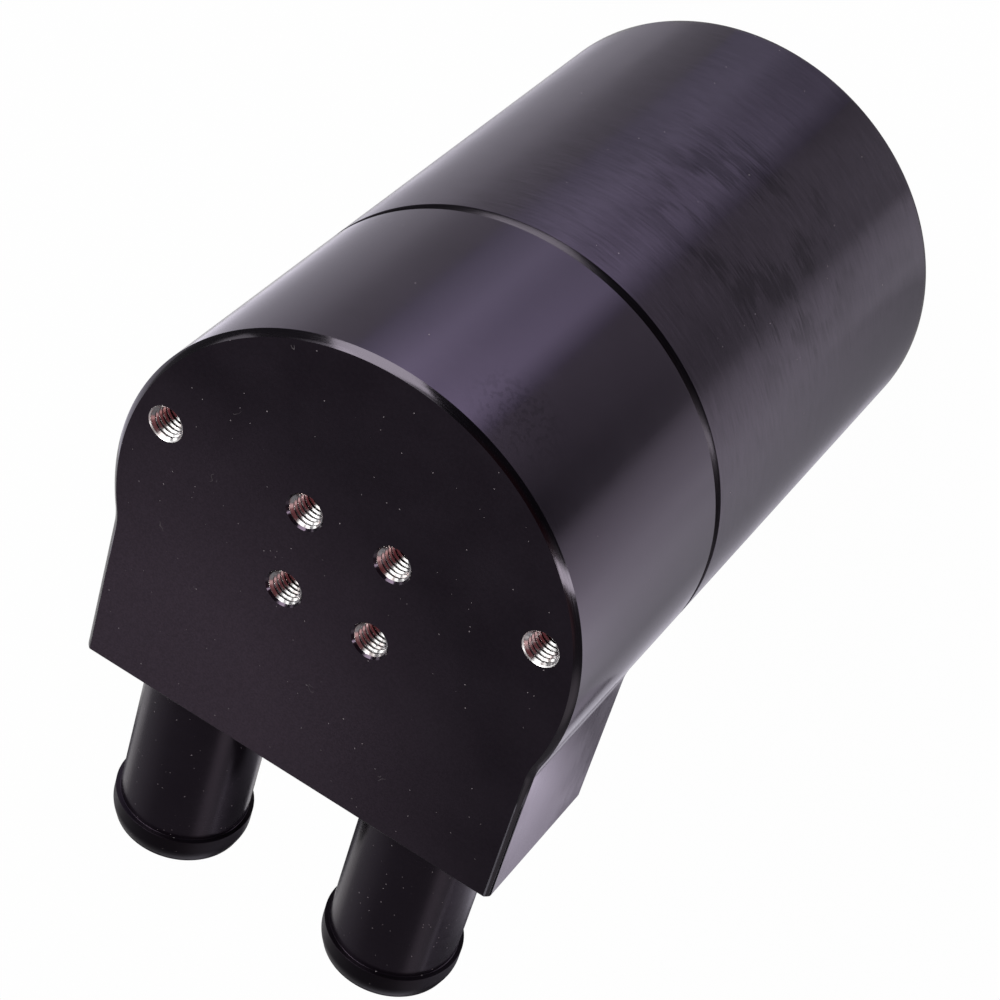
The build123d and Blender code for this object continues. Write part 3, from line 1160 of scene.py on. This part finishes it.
def tapped_outline(sink, rim):
    """A blind hole at the thread's root, with its countersink, mouth up at the mounting face."""
    return [
        (0, spare, BARE),
        (hole_r + sink + spare, spare, rim),
        (hole_r, -sink, BARE),
        (hole_r, -tapped_depth, DYED),
        (hole_r, -hole_depth, DYED),
        (0, -hole_depth - hole_r / drill_slope, DYED),
    ]


upright = bmesh.new()
for x, y, sink, rim in tapped_holes:
    hole = spin(bmesh.new(), tapped_outline(sink, rim), hole_steps)
    add_moved(upright, hole, Matrix.Translation((x, y, top_z)))
print("tapped holes:", len(tapped_holes))

# %% [markdown]
# From below, three holes take the baffle's screws, and two passages rise from the recess to the ports.
# From the front, each port is a seat for its stub, with a narrower bore behind it that meets its
# passage. Little of this shows from outside, but a glance into a stub or an open head finds it.

# %% Passages and ports
seat_depth = 9.0 * MM
stub_bore_r = 7.75 * MM
passage_r = 7.0 * MM
passage_wall = 0.8 * MM
passage_rise = port_z - 3.0 * MM
passage = Vector((plenum_r - passage_wall - passage_r, 0.0))
passage.rotate(Matrix.Rotation(math.radians(37), 2))
stay_r, stay_depth = 2.05 * MM, 8.5 * MM
stay_ring = plenum_r - 5.0 * MM

for turn in (-90, 30, 150):
    spot = Vector((math.cos(math.radians(turn)), math.sin(math.radians(turn)), 0)) * stay_ring
    hole = spin(bmesh.new(), bar(stay_r, plenum_z - spare, plenum_z + stay_depth, BARE), hole_steps)
    add_moved(upright, hole, Matrix.Translation(spot))
for side in (-1, 1):
    rise = spin(bmesh.new(), bar(passage_r, plenum_z - spare, passage_rise, DYED), hole_steps)
    add_moved(upright, rise, Matrix.Translation((side * passage.x, -passage.y, 0)))

ports = bmesh.new()
port_depth = -port_y - passage.y + passage_r
for side in (-1, 1):
    port = spin(bmesh.new(), [
        (0, spare, DYED),
        (seat_r, spare, DYED),
        (seat_r, -seat_depth, DYED),
        (stub_bore_r, -seat_depth, DYED),
        (stub_bore_r, -port_depth, DYED),
        (0, -port_depth, DYED),
    ], 2 * hole_steps)
    add_moved(ports, port, at_port(side))
print("cutters:", len(upright.faces) + len(ports.faces), "faces")

# %% [markdown]
# The passages and the ports run into each other, and cutters that cross in one mesh would need the
# Boolean's slower option for self-intersection. So the upright holes are cut first, and the ports
# after them. The result is kept as a plain mesh, so the piece needs no cutter any more.

# %% Cut the holes
def cut(piece, cutter_mesh):
    """Take the cutter out of the piece and keep the hole's own finish."""
    cutter = piece_from(cutter_mesh, "cutter", [thread_bright, satin_black, rim_bright])
    boolean = piece.modifiers.new("cut", "BOOLEAN")
    boolean.object = cutter
    boolean.operation = "DIFFERENCE"
    boolean.solver = "EXACT"
    boolean.material_mode = "TRANSFER"
    done = piece.evaluated_get(bpy.context.evaluated_depsgraph_get())
    mesh = bpy.data.meshes.new_from_object(done)
    piece.modifiers.clear()
    piece.data = mesh
    bpy.data.objects.remove(cutter)


cut(head, upright)
cut(head, ports)
head.data.name = "head_milled"
head.data.set_sharp_from_angle(angle=math.radians(crisp_angle))
dress(even_shading(head), "head", "head")

# %% [markdown]
# ## Hose stubs
# Each stub is a turned tube, pressed into its seat, with one bead that keeps the hose from slipping
# off: a square shoulder towards the head, and a taper towards the end that the hose goes on over. It
# is spun on the lathe as the can is, lying down. The taper follows a cosine, because the real bead
# is a soft swell and not a cone.

# %% Turn the stubs
TUBE, BEAD, BORE = 0, 1, 2
stub_r = 9.45 * MM
bead_r = stub_high.x - port_x
stub_reach = port_y - stub_end
bead_lead, bead_land = 2.7 * MM, 2.0 * MM
shoulder = stub_reach - bead_lead - bead_land
tip_r = stub_r + 0.1 * MM
tip_round = 0.5 * MM
tip_steps = 5

tip = [
    (tip_r - tip_round * (1 - math.cos(a)), stub_reach - tip_round * (1 - math.sin(a)), BEAD)
    for a in quarter_turn(tip_steps)
]
taper = []
for step, angle in enumerate(quarter_turn(curve_steps)):
    along = (bead_lead - tip_round) * step / curve_steps
    taper.append((tip_r + (bead_r - tip_r) * math.cos(angle), stub_reach - bead_lead + along, BEAD))
stub_outline = rounded([
    (stub_bore_r, -seat_depth, TUBE),
    (stub_r, -seat_depth, TUBE),
    (stub_r, shoulder, BEAD),
    (bead_r, shoulder, BEAD),
    *taper,
], edge_break)[:-1] + tip
stub_outline += [(stub_bore_r + edge_break, stub_reach, BORE), (stub_bore_r, stub_reach - edge_break, BORE)]
for name, node, side in (("inlet_stub", "inlet_barb", -1), ("outlet_stub", "outlet_barb", 1)):
    stub_mesh = spin(bmesh.new(), stub_outline, 2 * hole_steps)
    bmesh.ops.transform(stub_mesh, matrix=at_port(side), verts=stub_mesh.verts)
    stub = piece_from(stub_mesh, name, [stub_black, bead_black, bead_black])
    dress(even_shading(stub), node, "head")

# %% [markdown]
# ## Screw threads
# A thread is a ridge that runs round and round at a steady climb. A bump in the material would do from
# far off, but here one looks into the holes, and a bump has no crest that hides what is behind it. So
# the ridge is a trapezoid swept along a right-hand helix, and it fades into the wall at both ends as
# a tap or a die leaves it. Its foot lies a little inside the wall, so no gap can show.

# %% Thread helper
turn_steps = 48
sunk = 0.06 * MM
fades_per_turn = 5.0
crest_side = 3
thread_crisp = 25.0


def thread(
    wall_r, crest_r, pitch, low, high, foot_width, crest_width, phase=0.0, lid=math.inf, crest_finish=0,
):
    """One ridge from low to high on a wall of the given radius, as a closed mesh.

    A countersink that ends at the height of the lid cuts the ridge away at its slope."""
    bm = bmesh.new()
    count = int((high - low) / pitch * turn_steps)
    outward = 1.0 if crest_r > wall_r else -1.0
    last = None
    for step in range(count + 1):
        angle = 2 * math.pi * step / turn_steps + phase
        z = low + pitch * step / turn_steps
        fade = min(1.0, fades_per_turn * step / turn_steps, fades_per_turn * (count - step) / turn_steps)
        crest = wall_r + outward * min(abs(crest_r - wall_r) * fade, max(lid - z, 0.0))
        sides = [
            (wall_r - outward * sunk, -foot_width / 2),
            (wall_r, -foot_width / 2),
            (crest, -crest_width / 2),
            (crest, crest_width / 2),
            (wall_r, foot_width / 2),
            (wall_r - outward * sunk, foot_width / 2),
        ]
        ring = [bm.verts.new((r * math.cos(angle), r * math.sin(angle), min(z + dz, lid))) for r, dz in sides]
        if last:
            for side in range(len(ring)):
                face = bm.faces.new([last[side - 1], last[side], ring[side], ring[side - 1]])
                face.material_index = crest_finish if side == crest_side else 0
        else:
            bm.faces.new(ring)
        last = ring
    bm.faces.new(last)
    bmesh.ops.remove_doubles(bm, verts=bm.verts, dist=weld)
    return bm


print("thread helper ready")

# %% [markdown]
# ## The six tapped holes
# They take M5 screws: 5 mm across and 0.8 mm from turn to turn. Each could be a piece of its own, but
# all six share their finishes and ride on the head, so they are one piece. Flanks are bright, and
# crests keep the black of the drilled wall. At its mouth each thread runs out into the countersink.

# %% Tap the six holes
m5_pitch, m5_minor_r = 0.8 * MM, 2.115 * MM
m5_foot, m5_crest = 0.78 * MM, 0.20 * MM
m5_turns = 11.1
m5_phase = math.radians(24)
below_sink = 0.05 * MM

tapped = bmesh.new()
for x, y, sink, _ in tapped_holes:
    top = -sink - below_sink
    low = top - m5_turns * m5_pitch
    helix = thread(hole_r, m5_minor_r, m5_pitch, low, top, m5_foot, m5_crest, m5_phase, -sink, DYED)
    add_moved(tapped, helix, Matrix.Translation((x, y, top_z)))
tapped_threads = piece_from(tapped, "tapped_threads", [thread_bright, satin_black], thread_crisp)
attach(tapped_threads, "head")
print("six tapped holes:", len(tapped_threads.data.polygons), "faces")

# %% [markdown]
# ## The thread between head and can
# The spigot's ridge stands out and the can's ridge stands in, with room between them. Both run to the
# right with the same pitch, and the head climbs one pitch for each turn, so they mesh at every turn.
# They show when the head is unscrewed, which is why they are modelled and not left to a bump.

# %% Cut the big thread
big_pitch = 1.5 * MM
big_height = 0.8 * MM
big_top = land_z - 0.7 * MM
male_low, male_foot, male_crest = spigot_z + 0.9 * MM, 1.11 * MM, 0.19 * MM
female_low, female_foot, female_crest = run_out_z + 1.15 * MM, 1.29 * MM, 0.37 * MM

male_r = spigot_root_r + big_height
male = thread(spigot_root_r, male_r, big_pitch, male_low, big_top, male_foot, male_crest)
female_r = thread_root_r - big_height
female = thread(thread_root_r, female_r, big_pitch, female_low, big_top, female_foot, female_crest)
for name, ridge_mesh, body in (("spigot_thread", male, "head"), ("can_thread", female, "can")):
    ridge = piece_from(ridge_mesh, name, [satin_black], thread_crisp)
    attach(ridge, body)
    print(ridge.name, len(ridge.data.polygons), "faces")

# %% [markdown]
# ## Inside pieces
# Under the head hang the inlet's tube, three spacers with their screws, a perforated plate and the
# wire pad. Their solids already have their true shape, so they stay, and only their first material
# slot is filled with the right metal.

# %% Finish the inside pieces
inside_metals = {
    "inlet_tube": bare_aluminium,
    "baffle_spacer_1": bare_aluminium,
    "baffle_spacer_2": bare_aluminium,
    "baffle_spacer_3": bare_aluminium,
    "baffle_plate": stainless,
    "baffle_screws": stainless,
    "mesh_pad": wire_mesh,
}
for name, material in inside_metals.items():
    nodes[name].data.materials[0] = material
print("inside pieces finished:", len(inside_metals))
